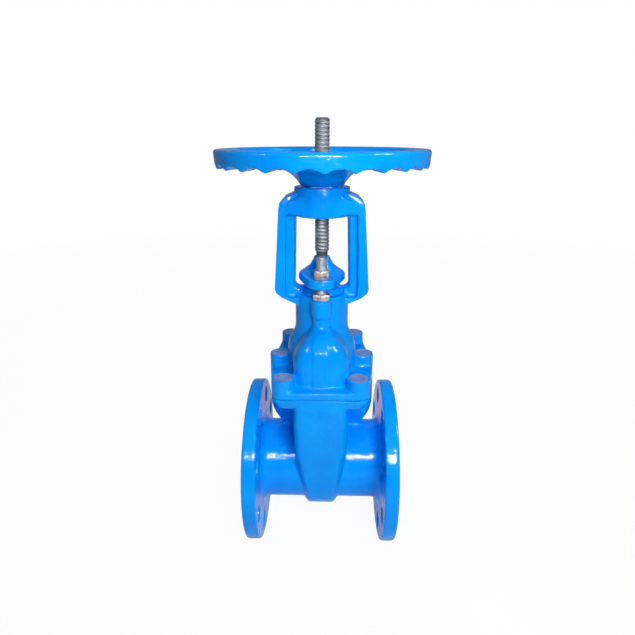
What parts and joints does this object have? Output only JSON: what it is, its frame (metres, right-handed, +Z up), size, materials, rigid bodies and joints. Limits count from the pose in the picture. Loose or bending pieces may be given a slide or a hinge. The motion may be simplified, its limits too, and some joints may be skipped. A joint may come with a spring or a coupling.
{
  "type": "resilient seat gate valve",
  "caption": "Flanged gate valve with a rubber-coated wedge, a bell bonnet with an outside yoke, and a rising stem that a handwheel with a scalloped rim raises and lowers.",
  "frame": {"origin": "centre of the inlet flange's raised face, on the pipe's axis", "axes": "+X along the pipe from the inlet flange to the outlet flange, +Z up along the stem, -Y towards the viewer of the housing's front"},
  "size_m": [0.2286, 0.2286, 0.512],
  "materials": {
    "blue_epoxy": "glossy fusion-bonded epoxy",
    "black_rubber": "matt",
    "stainless_steel": "turned",
    "zinc_steel": "zinc plated",
    "sealing_wax": "satin wax",
    "bearing_plastic": "satin",
    "bronze": "machined"
  },
  "bodies": {
    "valve": {"body": "blue_epoxy", "gasket": "black_rubber", "bonnet": "blue_epoxy", "bonnet_screw_1": "zinc_steel", "bonnet_screw_2": "zinc_steel", "bonnet_screw_3": "zinc_steel", "bonnet_screw_4": "zinc_steel", "bonnet_screw_5": "zinc_steel", "bonnet_screw_6": "zinc_steel", "wax_plug_1": "sealing_wax", "wax_plug_2": "sealing_wax", "wax_plug_3": "sealing_wax", "wax_plug_4": "sealing_wax", "wax_plug_5": "sealing_wax", "wax_plug_6": "sealing_wax", "packing": "black_rubber", "gland": "blue_epoxy", "gland_stud_front": "stainless_steel", "gland_stud_back": "stainless_steel", "gland_nut_front": "zinc_steel", "gland_nut_back": "zinc_steel", "stud_nut_front": "zinc_steel", "stud_nut_back": "zinc_steel", "lower_washer": "bearing_plastic", "upper_washer": "bearing_plastic", "retaining_ring": "zinc_steel"},
    "wheel": {"yoke_nut": "bronze", "handwheel": "blue_epoxy", "wheel_nut": "zinc_steel"},
    "stem": {"stem": "stainless_steel", "gate": "black_rubber", "gate_pin": "stainless_steel"}
  },
  "joints": [
    {"name": "wheel_turn", "type": "hinge", "parent": "valve", "child": "wheel", "pos_m": [0.09, 0, 0.33], "axis": [0, 0, 1], "range_deg": [0, 7920]},
    {"name": "stem_lift", "type": "slide", "parent": "valve", "child": "stem", "axis": [0, 0, 1], "range_m": [0, 0.088]}
  ],
  "couplings": [
    {"joint": "stem_lift", "follows": "wheel_turn", "m_per_rad": 0.00063662}
  ]
}
